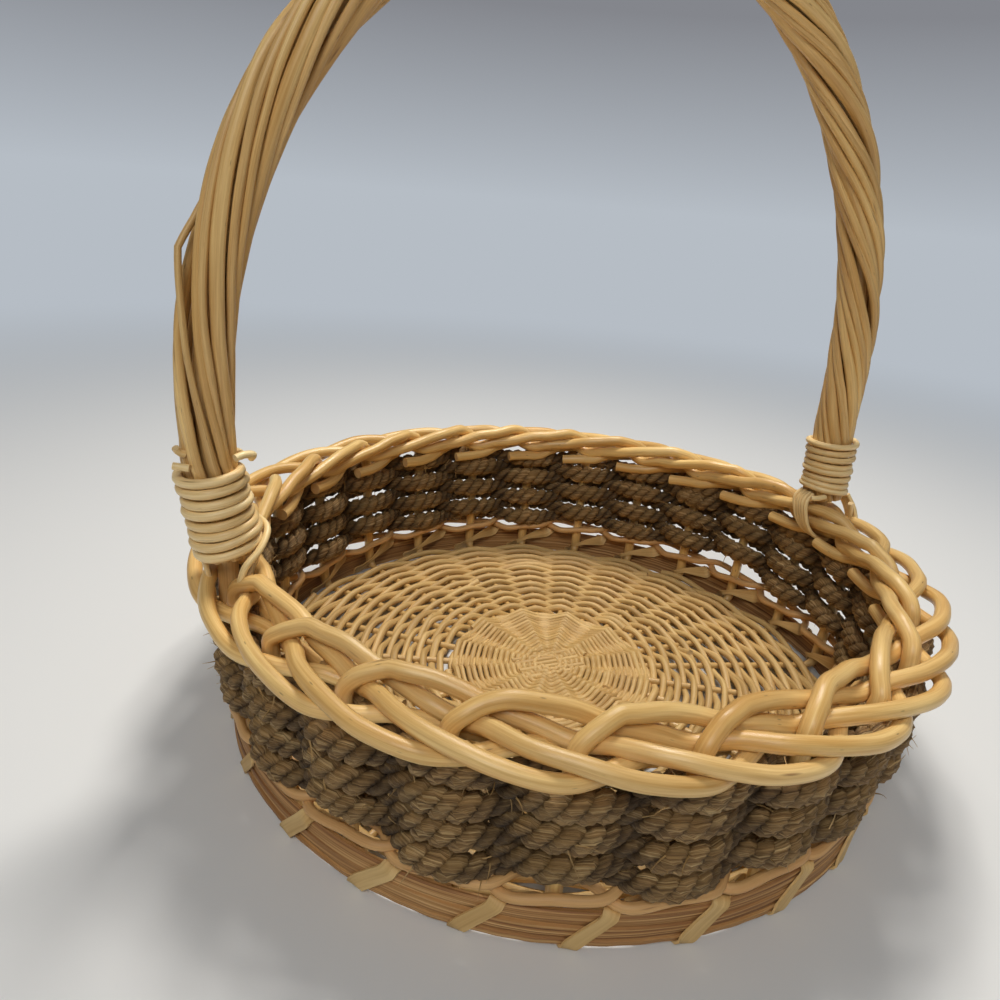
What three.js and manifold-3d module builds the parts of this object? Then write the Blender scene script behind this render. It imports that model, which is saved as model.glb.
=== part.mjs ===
// A round willow gathering basket with seagrass rope walls, a rolled willow border and a fixed roped handle.
// Millimetres, +Z up, the table at z = 0, the basket's own axis on Z and the handle across X.
import * as THREE from "three";
import { mergeVertices } from "three/addons/utils/BufferGeometryUtils.js";
import Module from "manifold-3d";

// Stakes: each willow rod lies in the base as a spoke, turns up through the wall and is bent down
// as the border.
const STAKES = 25; // an odd count lets one rope alternate in and out from row to row
const STAKE_D = 6.4; // rod in the wall and the border
const SPOKE_D = 3.2; // the same rod's thin end, in the base
const SPOKE_START_R = 34; // where the spokes begin, from the basket's axis
const RING_FOOT = 144.5; // circle of the stakes at the table
const RING_TOP = 150; // and at the border
const UPSETT_R = 5; // radius at which a spoke turns up into the wall

// Clearances
const GAP = 0.35; // between pieces that touch
const BORDER_GAP = 0.7; // between rods that are rolled over one another
const BOW_ROD_GAP = 0.6; // between neighbouring rods of the handle
const CANE_GAP = 0.5; // between the turns of a collar

// Base edge: a flat splint hoop round the stakes, lashed to each of them
const HOOP_H = 15;
const HOOP_T = 2;
const LASH_W = 7.5;
const LASH_T = 0.9;

// Base: a weaver that runs over one spoke and under the next, round a dense middle
const WEAVER_W = 3.2;
const WEAVER_H = 2.8;
const WEAVER_PITCH = 3.75; // from one row to the next
const WEAVE_EDGE = 5; // bare stretch of spoke between the weave and the wall
const MIDDLE_R = 50;
const MIDDLE_COVER = 0.9; // least thickness of the middle over a spoke, and under it
const MIDDLE_RIDGES = 12; // its rows all rise over one pair of sticks and dip under the next
const RIDGE_H = 2;

// Wall: a pair of willow rods, then seagrass rope
const WALE_D = 4;
const ROPE_ROWS = 6;
const ROPE_H = 6.2; // rope squeezed between the rows
const ROPE_W = 8.2;

// Handle
const SPRING_Z = 150; // height at which the upright legs start to curve
const RISE = 175; // from there to the top of the arch
const BOW_RODS = 9;
const BOW_ROD_D = 4.6;
const BOW_TWIST_LENGTH = 220; // of one full turn of the rods round the core
const FOOT_PHASE = 0.8; // where a foot stands, in stake spacings past a stake

// Bindings of the handle's feet
const CANE_D = 3.6;
const COLLAR_TURNS = 8;
const TIE_W = 6.4; // cane strands side by side
const TIE_T = 1.8;

// How finely the pieces are drawn
const ROD_SIDES = 5;
const ROPE_SIDES = 6;
const BORDER_STEPS = 20;
const ARCH_STEPS = 26;
const COLLAR_STEPS = 14;
const RIM_SIDES = 2 * STAKES;
const SEAT_STEPS = 200;

// The border is laid out in rod widths. One rod, from its stake on: spacings along the rim, then rod widths
// outwards and upwards. It runs behind two stakes, first on top and then under the next rod, crosses to the
// outside, runs in front of two more and tucks in below the border, where its cut end lies.
const BORDER_ROUTE = [
  [0.05, 0, 0.98],
  [0.18, -0.60, 1.59],
  [0.42, -1.25, 1.92],
  [0.70, -1.65, 1.79],
  [1.00, -1.72, 1.40],
  [1.35, -1.58, 0.93],
  [1.70, -1.41, 0.60],
  [2.02, -1.18, 0.19],
  [2.32, -0.37, 0.82],
  [2.65, 0.85, 1.18],
  [3.00, 1.53, 1.09],
  [3.45, 1.95, 0.70],
  [3.90, 1.75, 0.20],
  [4.20, 0.83, 0],
  [4.46, -0.13, 0],
  [4.64, -0.72, 0],
];
const layer = STAKE_D + BORDER_GAP;
const inwards = BORDER_ROUTE.map(([, out]) => -out * layer);
const outwards = BORDER_ROUTE.map(([, out]) => out * layer);
const upwards = BORDER_ROUTE.map(([, , up]) => up * layer);
const innerEdge = Math.max(...inwards);
const outerEdge = Math.max(...outwards);
const borderRise = Math.max(...upwards);
const tuckDrop = -Math.min(...upwards);

// Heights, from the table upwards
const hoopFoot = LASH_T + GAP;
const hoopTop = hoopFoot + HOOP_H;
const lashTop = hoopTop + GAP + LASH_T;
const spokeZ = hoopFoot + WEAVER_H + GAP + SPOKE_D / 2;
const waleLift = (WALE_D + GAP) / 2;
const waleZ = lashTop + GAP + WALE_D / 2 + waleLift;
const ropePitch = ROPE_H + GAP;
const ropeStart = waleZ + waleLift + WALE_D / 2 + GAP + ROPE_H / 2;
const ropeEnd = ropeStart + ROPE_ROWS * ropePitch;
const tuckZ = ropeEnd + ROPE_H / 2 + GAP + STAKE_D / 2;
const tieZ = tuckZ - STAKE_D / 2 - GAP - TIE_T / 2; // strands that pass under the border
const borderZ = tuckZ + tuckDrop;
const rimTop = borderZ + borderRise + STAKE_D / 2;

// Round the basket: angles are counted in stake spacings from the first stake, beside the handle's left foot,
// where rope, wale and lashing begin and end. The feet lie in line with X, and the odd stake is behind them.
const TURN = 2 * Math.PI;
const spacing = TURN / STAKES;
const footSpread = Math.floor(STAKES / 2) * spacing;
const firstStake = 1.5 * Math.PI - footSpread / 2 - FOOT_PHASE * spacing;
const ringAt = (z) => RING_FOOT + ((RING_TOP - RING_FOOT) * z) / borderZ;
const outward = (p) => new THREE.Vector3(p.x, p.y, 0).normalize();
const upright = () => new THREE.Vector3(0, 0, 1);
function onRing(radius, along, z) {
  return new THREE.Vector3(radius, 0, z).applyAxisAngle(upright(), along * spacing);
}

const willow = { color: 0xdcb678, roughness: 0.5, metalness: 0 };
const seagrass = { color: 0x7d6a42, roughness: 0.9, metalness: 0 };
const splint = { color: 0x8f6b42, roughness: 0.75, metalness: 0 };
const cane = { color: 0xd9bd86, roughness: 0.6, metalness: 0 };

const basket = new THREE.Group();
basket.name = "seagrass_basket";
const weave = new THREE.Group();
weave.name = "woven_body";
weave.rotation.z = firstStake;
const handle = new THREE.Group();
handle.name = "handle";
handle.position.y = -RING_TOP * Math.cos(footSpread / 2);
basket.add(weave, handle);

function addPiece(group, name, geometry, look) {
  const piece = new THREE.Mesh(geometry, new THREE.MeshStandardMaterial(look));
  piece.name = name;
  group.add(piece);
  return piece;
}

// A regular section with its corners on an ellipse.
function ellipse(width, height, sides) {
  return Array.from({ length: sides }, (_, i) => {
    const a = ((i + 0.5) / sides) * TURN;
    return new THREE.Vector2((width / 2) * Math.cos(a), (height / 2) * Math.sin(a));
  });
}

function rectangle(width, height) {
  const w = width / 2;
  const h = height / 2;
  return [[w, h], [-w, h], [-w, -h], [w, -h]].map(([x, y]) => new THREE.Vector2(x, y));
}

// A closed body along a route. At each point, frame gives the section's two directions and grow its scale.
function sweep(route, section, frame, grow = () => 1) {
  const sides = section.length;
  const positions = [];
  route.forEach((point, i) => {
    const before = route[Math.max(i - 1, 0)];
    const after = route[Math.min(i + 1, route.length - 1)];
    const along = after.clone().sub(before).normalize();
    const [x, y] = frame(point, along, i);
    const size = grow(i);
    for (const corner of section) {
      const at = point.clone().addScaledVector(x, corner.x * size).addScaledVector(y, corner.y * size);
      positions.push(at.x, at.y, at.z);
    }
  });
  const faces = [];
  for (let ring = 0; ring + 1 < route.length; ring++) {
    for (let side = 0; side < sides; side++) {
      const a = ring * sides + side;
      const b = ring * sides + ((side + 1) % sides);
      faces.push(a, b, b + sides, a, b + sides, a + sides);
    }
  }
  const last = (route.length - 1) * sides;
  for (let side = 1; side + 1 < sides; side++) {
    faces.push(0, side + 1, side, last, last + side, last + side + 1);
  }
  const body = new THREE.BufferGeometry();
  body.setAttribute("position", new THREE.Float32BufferAttribute(positions, 3));
  body.setIndex(faces);
  return body;
}

// A frame square to the route, with its x axis as near as can be to the direction that toward gives.
function facing(toward) {
  return (point, along) => {
    const reference = toward(point);
    const x = reference.clone().addScaledVector(along, -reference.dot(along)).normalize();
    return [x, along.clone().cross(x)];
  };
}

// A frame square to the route, whose x axis starts at first and is carried on without twist.
function carried(first) {
  let reference = first;
  return (point, along) => {
    const [x, y] = facing(() => reference)(point, along);
    reference = x;
    return [x, y];
  };
}

// Least clear distance of a winding from itself, over points that are at least half a turn apart.
function leastGap(route, pointsPerTurn, thickness) {
  let least = Infinity;
  route.forEach((a, i) => {
    for (let j = i + Math.ceil(pointsPerTurn / 2); j < route.length; j++) {
      const b = route[j];
      const next = route[Math.min(j + 1, route.length - 1)];
      const near = new THREE.Line3(b, next).closestPointToPoint(a, true, new THREE.Vector3());
      least = Math.min(least, a.distanceTo(near) - thickness);
    }
  });
  return least;
}

// Stakes, from the spoke in the base to the cut end under the border
const borderCurve = new THREE.CatmullRomCurve3([
  onRing(RING_TOP, 0, tuckZ),
  ...BORDER_ROUTE.map(([along, out, up]) => onRing(RING_TOP + out * layer, along, borderZ + up * layer)),
]);
const spokeEnd = ringAt(spokeZ) - UPSETT_R;
const bend = UPSETT_R * (1 - Math.SQRT1_2);
const spokeRoute = [onRing(SPOKE_START_R, 0, spokeZ), onRing(spokeEnd, 0, spokeZ)];
const stakeRoute = [
  ...spokeRoute,
  onRing(ringAt(spokeZ) - bend, 0, spokeZ + bend),
  onRing(ringAt(spokeZ + UPSETT_R), 0, spokeZ + UPSETT_R),
  onRing(ringAt(waleZ), 0, waleZ),
  ...borderCurve.getSpacedPoints(BORDER_STEPS),
];
const thinEnd = (i) => (i < spokeRoute.length ? SPOKE_D / STAKE_D : 1);
for (let k = 0; k < STAKES; k++) {
  const sideways = carried(new THREE.Vector3(0, 1, 0));
  const rod = sweep(stakeRoute, ellipse(STAKE_D, STAKE_D, ROD_SIDES), sideways, thinEnd);
  const stake = addPiece(weave, "stake_" + String(k + 1).padStart(2, "0"), rod, willow);
  stake.rotation.z = k * spacing;
}

// Base, the dense middle: a round mat in ridges, with a bore for each spoke
const wasm = await Module();
wasm.setup();
function solidOf(geometry) {
  geometry.deleteAttribute("normal");
  geometry.deleteAttribute("uv");
  const closed = mergeVertices(geometry);
  const vertProperties = closed.getAttribute("position").array;
  const triVerts = new Uint32Array(closed.getIndex().array);
  return new wasm.Manifold(new wasm.Mesh({ numProp: 3, vertProperties, triVerts }));
}
function geometryOf(solid) {
  const mesh = solid.getMesh();
  const body = new THREE.BufferGeometry();
  body.setAttribute("position", new THREE.BufferAttribute(mesh.vertProperties, mesh.numProp));
  body.setIndex(new THREE.BufferAttribute(mesh.triVerts, 1));
  return body;
}
const boreW = SPOKE_D + 2 * GAP;
const ridgeTop = boreW / 2 + MIDDLE_COVER + RIDGE_H;
const disc = new THREE.CylinderGeometry(MIDDLE_R, MIDDLE_R, 2 * ridgeTop, 2 * MIDDLE_RIDGES);
disc.rotateX(Math.PI / 2);
const discPoints = disc.getAttribute("position");
for (let i = 0; i < discPoints.count; i++) {
  const angle = Math.atan2(discPoints.getY(i), discPoints.getX(i));
  const step = Math.round((angle / TURN) * 2 * MIDDLE_RIDGES);
  const centre = Math.hypot(discPoints.getX(i), discPoints.getY(i)) < MIDDLE_R / 2;
  const dip = centre ? 0.5 : Math.abs(step % 2);
  discPoints.setZ(i, Math.sign(discPoints.getZ(i)) * (ridgeTop - dip * RIDGE_H));
}
disc.translate(0, 0, spokeZ);
let mat = solidOf(disc);
for (let k = 0; k < STAKES; k++) {
  const bore = new THREE.BoxGeometry(MIDDLE_R, boreW, boreW);
  bore.translate(SPOKE_START_R - GAP + MIDDLE_R / 2, 0, spokeZ);
  bore.rotateZ(k * spacing);
  mat = mat.subtract(solidOf(bore));
}

// Base, from the middle out: one weaver, which comes out of the middle between two spokes. With an odd count
// of spokes, each row goes over where the row before it went under.
const firstRow = MIDDLE_R + GAP + WEAVER_W / 2;
const lastRow = spokeEnd - WEAVE_EDGE - WEAVER_W / 2;
const crossings = Math.floor(((lastRow - firstRow) / WEAVER_PITCH) * STAKES);
const weaverClimb = SPOKE_D + WEAVER_H + 2 * GAP;
const weaverRoute = [onRing(MIDDLE_R - WEAVER_W, -0.5, spokeZ)];
for (let m = 0; m <= crossings; m++) {
  const radius = firstRow + (m / STAKES) * WEAVER_PITCH;
  const slant = Math.hypot(1, weaverClimb / (radius * spacing));
  const lift = WEAVER_H / 2 + (SPOKE_D / 2 + GAP) * slant;
  weaverRoute.push(onRing(radius, m, spokeZ + (m % 2 === 0 ? lift : -lift)));
}
const weaver = sweep(weaverRoute, rectangle(WEAVER_W, WEAVER_H), facing(outward));
addPiece(weave, "base_weave", geometryOf(mat.add(solidOf(weaver))), willow);

// Hoop round the foot of the stakes
const hoopInner = ringAt(hoopTop) + STAKE_D / 2 + GAP;
const hoopOuter = hoopInner + HOOP_T;
const hoop = new THREE.LatheGeometry(
  [
    new THREE.Vector2(hoopInner, hoopFoot),
    new THREE.Vector2(hoopOuter, hoopFoot),
    new THREE.Vector2(hoopOuter, hoopTop),
    new THREE.Vector2(hoopInner, hoopTop),
    new THREE.Vector2(hoopInner, hoopFoot),
  ],
  RIM_SIDES,
);
hoop.deleteAttribute("normal");
hoop.deleteAttribute("uv");
hoop.rotateX(Math.PI / 2);
addPiece(weave, "base_hoop", hoop, splint);

// Lashing: one splint that climbs the hoop outside, comes over it, binds the next stake inside and goes
// under. Each corner of a turn is given as spacings past the stake, radius, height, the way its outer face
// looks, outwards and upwards, and how far its width leans from level, where it is folded over the hoop's
// edges, towards upright, where it is drawn narrow across the stake.
const FOLD_OUT = 0.1; // from the side of a stake to a fold at the hoop's inner edge, in spacings
const UNDER_RUN = 0.04; // what a turn gains as it passes under the hoop
const CLIMB_END = 0.64; // where it comes over the hoop, past the stake before
const STAKE_HIGH = 0.9; // where it reaches the next stake, and where it leaves it, in hoop heights
const STAKE_LOW = 0.72;
const LEAN = 1.2; // radians
const DRAWN_IN = 0.6; // width across a stake, in whole widths
const lashOff = GAP + LASH_T / 2;
const overStake = ringAt(hoopFoot + STAKE_LOW * HOOP_H) - STAKE_D / 2 - 2 * GAP - LASH_T / 2;
const beside = (STAKE_D / 2 + GAP + LASH_W / 2) / (overStake * spacing);
const LASH_TURN = [
  [-beside - FOLD_OUT, hoopInner - lashOff, hoopTop + lashOff, -1, 1, 0],
  [-beside, overStake, hoopFoot + STAKE_HIGH * HOOP_H, -1, 0, LEAN],
  [beside, overStake, hoopFoot + STAKE_LOW * HOOP_H, -1, 0, LEAN],
  [beside + FOLD_OUT, hoopInner - lashOff, LASH_T / 2, -1, -1, 0],
  [beside + FOLD_OUT + UNDER_RUN, hoopOuter + lashOff, LASH_T / 2, 1, -1, 0],
  [CLIMB_END, hoopOuter + lashOff, hoopTop + lashOff, 1, 1, 0],
];
const lashRoute = [];
for (let k = 0; k < STAKES; k++) {
  for (const [along, radius, z] of LASH_TURN) {
    lashRoute.push(onRing(radius, k + along, z));
  }
}
function lashFrame(point, along, i) {
  const [, , , out, up, lean] = LASH_TURN[i % LASH_TURN.length];
  const looks = outward(point).multiplyScalar(out).addScaledVector(upright(), up);
  const level = upright().cross(outward(point));
  const across = level.multiplyScalar(Math.cos(lean)).addScaledVector(upright(), Math.sin(lean));
  return [looks, lean > 0 ? across.multiplyScalar(DRAWN_IN) : across];
}
addPiece(weave, "base_lashing", sweep(lashRoute, rectangle(LASH_T, LASH_W), lashFrame), cane);
console.log("least gap in the lashing", leastGap(lashRoute, LASH_TURN.length, LASH_T).toFixed(2));

// Wale: two rods that twine round the stakes, each for one round of the wall
const waleReach = (STAKE_D + WALE_D) / 2 + GAP;
const WALE_FLAT = 0.1; // stretch beside a stake, to either side of it, in spacings
const endTrim = GAP / 2 / (RING_FOOT * spacing); // half of the gap between two butted ends, in spacings
function waleRoute(first) {
  const route = [];
  for (let m = 0; m <= STAKES; m++) {
    const side = (m + first) % 2 === 0 ? 1 : -1;
    for (const at of [m - WALE_FLAT, m + WALE_FLAT]) {
      const along = THREE.MathUtils.clamp(at, endTrim, STAKES - endTrim);
      route.push(onRing(ringAt(waleZ) + side * waleReach, along, waleZ));
    }
    if (m < STAKES) route.push(onRing(ringAt(waleZ), m + 0.5, waleZ + side * waleLift));
  }
  return route;
}
for (const first of [0, 1]) {
  const rod = sweep(waleRoute(first), ellipse(WALE_D, WALE_D, ROD_SIDES), facing(outward));
  addPiece(weave, "wale_rod_" + (first + 1), rod, willow);
}

// Seagrass rope: it climbs one row in each round, now outside and now inside the stakes
const ropeReach = (STAKE_D + ROPE_W) / 2 + GAP;
const ROPE_FLAT = 0.22; // stretch beside a stake, to either side of it, in spacings
function ropeRoute(row) {
  const route = [];
  const first = row * STAKES;
  for (let m = first; m <= first + STAKES; m++) {
    const side = m % 2 === 0 ? 1 : -1;
    for (const at of [m - ROPE_FLAT, m + ROPE_FLAT]) {
      const along = THREE.MathUtils.clamp(at, first + endTrim, first + STAKES - endTrim);
      const z = ropeStart + (along / STAKES) * ropePitch;
      route.push(onRing(ringAt(z) + side * ropeReach, along, z));
    }
  }
  return route;
}
for (let row = 0; row < ROPE_ROWS; row++) {
  const rope = sweep(ropeRoute(row), ellipse(ROPE_W, ROPE_H, ROPE_SIDES), facing(outward));
  addPiece(weave, "rope_row_" + (row + 1), rope, seagrass);
}

// Handle: the rods lie side by side in a ring round the core
const legX = RING_TOP * Math.sin(footSpread / 2);
const bowRodFoot = rimTop + GAP;
const bowRodRing = (BOW_ROD_D + BOW_ROD_GAP) / (2 * Math.sin(Math.PI / BOW_RODS));
const bowRadius = bowRodRing + BOW_ROD_D / 2;
const coreD = 2 * (bowRodRing - 2 * GAP) - BOW_ROD_D;

// The core runs down between the border's rods and stands on the strands that pass under them, or on the
// highest rod in its way
const seatHeights = [tieZ + TIE_T / 2];
for (const p of borderCurve.getSpacedPoints(SEAT_STEPS)) {
  for (let stakesBack = 0; stakesBack < BORDER_ROUTE.at(-1)[0]; stakesBack++) {
    const foot = onRing(RING_TOP, stakesBack + FOOT_PHASE, p.z);
    const beyond = Math.max(p.distanceTo(foot) - coreD / 2, 0);
    if (beyond < STAKE_D / 2) seatHeights.push(p.z + Math.sqrt((STAKE_D / 2) ** 2 - beyond ** 2));
  }
}
const seatZ = Math.max(...seatHeights) + GAP;

// Points at even steps along the arch, from one foot at the height footZ to the other
function archRoute(footZ) {
  const arc = Array.from({ length: RIM_SIDES + 1 }, (_, i) => {
    const a = Math.PI * (1 - i / RIM_SIDES);
    return new THREE.Vector3(legX * Math.cos(a), 0, SPRING_Z + RISE * Math.sin(a));
  });
  const path = new THREE.CurvePath();
  path.add(new THREE.LineCurve3(new THREE.Vector3(-legX, 0, footZ), arc[0]));
  path.add(new THREE.CatmullRomCurve3(arc));
  path.add(new THREE.LineCurve3(arc[RIM_SIDES], new THREE.Vector3(legX, 0, footZ)));
  return { points: path.getSpacedPoints(ARCH_STEPS), length: path.getLength() };
}
const frontToBack = () => new THREE.Vector3(0, 1, 0);
const core = sweep(archRoute(seatZ).points, ellipse(coreD, coreD, ROPE_SIDES), facing(frontToBack));
addPiece(handle, "handle_core", core, willow);

function bowRodRoute(rod) {
  const arch = archRoute(bowRodFoot);
  return arch.points.map((point, i) => {
    const before = arch.points[Math.max(i - 1, 0)];
    const after = arch.points[Math.min(i + 1, ARCH_STEPS)];
    const inPlane = after.clone().sub(before).normalize().cross(frontToBack());
    const angle = TURN * (rod / BOW_RODS - (i / ARCH_STEPS) * (arch.length / BOW_TWIST_LENGTH));
    return point
      .clone()
      .addScaledVector(frontToBack(), bowRodRing * Math.cos(angle))
      .addScaledVector(inPlane, bowRodRing * Math.sin(angle));
  });
}
for (let rod = 0; rod < BOW_RODS; rod++) {
  const bow = sweep(bowRodRoute(rod), ellipse(BOW_ROD_D, BOW_ROD_D, ROD_SIDES), facing(frontToBack));
  addPiece(handle, "bow_rod_" + (rod + 1), bow, willow);
}

// Collars: cane wound round the foot of each leg. The two are wound opposite ways.
const collarR = bowRadius + GAP + CANE_D / 2;
const canePitch = CANE_D + CANE_GAP;
const collarFoot = bowRodFoot + 2 * GAP + CANE_D / 2;
function collarRoute(way) {
  const turns = Array.from({ length: COLLAR_TURNS * COLLAR_STEPS + 1 }, (_, i) => {
    const a = (i / COLLAR_STEPS) * TURN * way;
    const z = collarFoot + (i / COLLAR_STEPS) * canePitch;
    return new THREE.Vector3(collarR * Math.cos(a), collarR * Math.sin(a), z);
  });
  const start = turns[0].clone().sub(turns[1]).setLength(CANE_D).add(turns[0]);
  const end = turns.at(-1).clone().sub(turns.at(-2)).setLength(CANE_D).add(turns.at(-1));
  return [start, ...turns, end];
}

// Ties: cane strands from the collar down inside the border, through under it and up its outside.
// Each point is given as a distance outwards from the middle of the border, and a height.
const tieOff = STAKE_D / 2 + GAP + TIE_T / 2;
const tieInner = innerEdge + tieOff;
const tieOuter = outerEdge + tieOff;
const TIE_ROUTE = [
  [-collarR, bowRodFoot - GAP],
  [-tieInner, borderZ + borderRise],
  [-tieInner, tuckZ],
  [-tieInner / 2, tieZ],
  [tieOuter / 2, tieZ],
  [tieOuter, borderZ],
  [tieOuter, borderZ + borderRise / 2],
  [collarR, bowRodFoot - GAP],
].map(([out, z]) => new THREE.Vector3(out, 0, z));

for (const [side, x] of [["left", -legX], ["right", legX]]) {
  const route = collarRoute(Math.sign(x));
  const winding = sweep(route, ellipse(CANE_D, CANE_D, ROD_SIDES), facing(upright));
  addPiece(handle, "collar_" + side, winding, cane).position.x = x;
  console.log("least gap in collar_" + side, leastGap(route, COLLAR_STEPS, CANE_D).toFixed(2));
  const strands = sweep(TIE_ROUTE, rectangle(TIE_W, TIE_T), facing(frontToBack));
  const tie = addPiece(handle, "tie_" + side, strands, cane);
  tie.position.x = x;
  tie.rotation.z = Math.atan2(handle.position.y, x);
}

export default basket;
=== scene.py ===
"""A round willow basket with seagrass rope walls and a fixed handle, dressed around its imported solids."""
import math

import bpy
import numpy as np
from mathutils import Matrix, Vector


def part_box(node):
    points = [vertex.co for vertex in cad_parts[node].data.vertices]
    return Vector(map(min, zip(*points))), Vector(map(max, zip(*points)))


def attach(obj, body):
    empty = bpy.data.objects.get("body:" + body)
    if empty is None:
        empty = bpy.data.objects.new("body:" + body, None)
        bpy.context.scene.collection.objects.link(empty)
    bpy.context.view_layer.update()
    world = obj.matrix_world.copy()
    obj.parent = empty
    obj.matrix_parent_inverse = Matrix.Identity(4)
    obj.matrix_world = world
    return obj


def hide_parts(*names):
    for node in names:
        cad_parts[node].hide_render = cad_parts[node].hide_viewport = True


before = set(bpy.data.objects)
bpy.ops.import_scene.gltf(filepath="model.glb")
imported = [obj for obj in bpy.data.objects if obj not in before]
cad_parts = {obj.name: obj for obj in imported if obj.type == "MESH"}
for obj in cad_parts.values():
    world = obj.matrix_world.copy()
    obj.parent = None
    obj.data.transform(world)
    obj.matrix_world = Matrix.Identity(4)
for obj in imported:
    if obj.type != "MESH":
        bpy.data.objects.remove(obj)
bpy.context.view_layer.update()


# The base: willow sticks crossed in the middle and covered by rows of thin rods, which all rise over the
# same sticks. From there out a single peeled rod after another runs over one spoke and under the next. The
# count of spokes is odd, so the strokes change over from row to row.
class Wire:
    """An output in a node tree. Arithmetic on it adds Math nodes, and add() puts in any other node."""

    def __init__(self, tree, socket=None):
        self.tree = tree
        self.socket = socket

    def add(self, kind, settings=None, sockets=None, out=0):
        node = self.tree.nodes.new(kind)
        for name, value in (settings or {}).items():
            if name == "stops":
                while len(node.color_ramp.elements) < len(value):
                    node.color_ramp.elements.new(1.0)
                for stop, (place, colour) in zip(node.color_ramp.elements, value):
                    stop.position = place
                    stop.color = colour
            else:
                setattr(node, name, value)
        shown = [s for s in node.inputs if s.enabled]
        for name, value in (sockets or {}).items():
            target = shown[name] if isinstance(name, int) else next(s for s in shown if s.name == name)
            if isinstance(value, Wire):
                self.tree.links.new(value.socket, target)
            else:
                target.default_value = value
        given = [s for s in node.outputs if s.enabled]
        if not given:
            return None
        chosen = given[out] if isinstance(out, int) else next(s for s in given if s.name == out)
        return Wire(self.tree, chosen)

    def math(self, operation, first, second):
        return self.add("ShaderNodeMath", {"operation": operation}, {0: first, 1: second})

    def __add__(self, other):
        return self.math("ADD", self, other)

    def __sub__(self, other):
        return self.math("SUBTRACT", self, other)

    def __rsub__(self, other):
        return self.math("SUBTRACT", other, self)

    def __mul__(self, other):
        return self.math("MULTIPLY", self, other)

    def __gt__(self, other):
        return self.math("GREATER_THAN", self, other)

    __radd__ = __add__
    __rmul__ = __mul__


def new_tree(name, inputs):
    """An empty geometry tree, its inputs as wires by name, and its end."""
    tree = bpy.data.node_groups.new(name, "GeometryNodeTree")
    kinds = {"Lines": "Geometry", **inputs, "Finish": "Material"}
    for label, kind in kinds.items():
        tree.interface.new_socket(label, in_out="INPUT", socket_type="NodeSocket" + kind)
    tree.interface.new_socket("Piece", in_out="OUTPUT", socket_type="NodeSocketGeometry")
    start = tree.nodes.new("NodeGroupInput")
    given = {label: Wire(tree, start.outputs[label]) for label in kinds}
    return tree, given, tree.nodes.new("NodeGroupOutput")


def end_tree(given, end, mesh):
    """Closes a tree: sharp rims at cut ends, instances realized, the finish set."""
    folds = mesh.add("GeometryNodeInputMeshEdgeAngle")
    smooth = mesh.add("GeometryNodeSetShadeSmooth", {"domain": "EDGE"},
                      {"Geometry": mesh, "Selection": folds > 1.0, "Shade Smooth": False})
    whole = mesh.add("GeometryNodeRealizeInstances", None, {"Geometry": smooth})
    finished = mesh.add("GeometryNodeSetMaterial", None, {"Geometry": whole, "Material": given["Finish"]})
    mesh.tree.links.new(finished.socket, end.inputs[0])


def noted(geometry, name, value, kind="FLOAT", domain="POINT"):
    """The geometry with a named attribute."""
    return geometry.add("GeometryNodeStoreNamedAttribute", {"data_type": kind, "domain": domain},
                        {"Geometry": geometry, "Name": name, "Value": value})


def own_value(wire, name, kind="FLOAT"):
    """A named attribute of the lines."""
    return wire.add("GeometryNodeInputNamedAttribute", {"data_type": kind}, {"Name": name})


def ripple(wire, place, out="Fac"):
    """Smooth noise along one line, from 0 to 1."""
    return wire.add("ShaderNodeTexNoise", {"noise_dimensions": "1D"},
                    {"W": place, "Scale": 1.0, "Detail": 1.5}, out)


def centred(wire, vector, size):
    """A noise colour as a vector about zero, of the given size."""
    about = wire.add("ShaderNodeVectorMath", {"operation": "SUBTRACT"}, {0: vector, 1: (0.5, 0.5, 0.5)})
    return wire.add("ShaderNodeVectorMath", {"operation": "SCALE"}, {0: about, "Scale": size})


def profile(given, lumps):
    """A round section of the given sides, with lumps, that remembers which way each point looks."""
    sides = given["Sides"]
    ring = sides.add("GeometryNodeCurvePrimitiveCircle", None, {"Resolution": sides, "Radius": 1.0})
    at = ring.add("GeometryNodeInputPosition")
    ring = noted(ring, "around", at, "FLOAT_VECTOR")
    lump = ring.add("ShaderNodeTexNoise", None, {"Vector": at, "Scale": 2.1, "Detail": 1.0})
    grown = ring.add("ShaderNodeVectorMath", {"operation": "SCALE"},
                     {0: at, "Scale": 1.0 + (lump - 0.5) * lumps})
    return ring.add("GeometryNodeSetPosition", None, {"Geometry": ring, "Position": grown})


def tube(wire, curve, section, half):
    """The curve as a closed mesh, with its cut faces marked."""
    mesh = wire.add("GeometryNodeCurveToMesh", None,
                    {"Curve": curve, "Profile Curve": section, "Scale": half, "Fill Caps": True})
    corners = wire.add("GeometryNodeInputMeshFaceNeighbors", out="Vertex Count")
    return noted(mesh, "cut", corners > 4.5, "FLOAT", "FACE")


ROD_SHIFT = 9.0  # metres of noise between one rod and the next


def rod_tree():
    """Round rods along lines: slightly uneven, never quite straight, with grain along and around them."""
    tree, given, end = new_tree("rods along lines", {"Sides": "Int", "Uneven": "Float", "Wander": "Float",
                                                     "Waves": "Float"})
    wire = Wire(tree)
    curve = wire.add("GeometryNodeMeshToCurve", None, {"Mesh": given["Lines"]})
    length = wire.add("GeometryNodeSplineParameter", out="Length")
    curve = noted(curve, "along", length + own_value(wire, "rod") * ROD_SHIFT)
    along = own_value(wire, "along")
    sway = centred(wire, ripple(wire, along * given["Waves"], "Color"), given["Wander"])
    curve = wire.add("GeometryNodeSetPosition", None, {"Geometry": curve, "Offset": sway})
    swell = 1.0 + (ripple(wire, along * given["Waves"] * 1.7 + 5.0) - 0.5) * given["Uneven"]
    mesh = tube(wire, curve, profile(given, 0.12), own_value(wire, "half") * swell)
    end_tree(given, end, mesh)
    return tree


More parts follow.
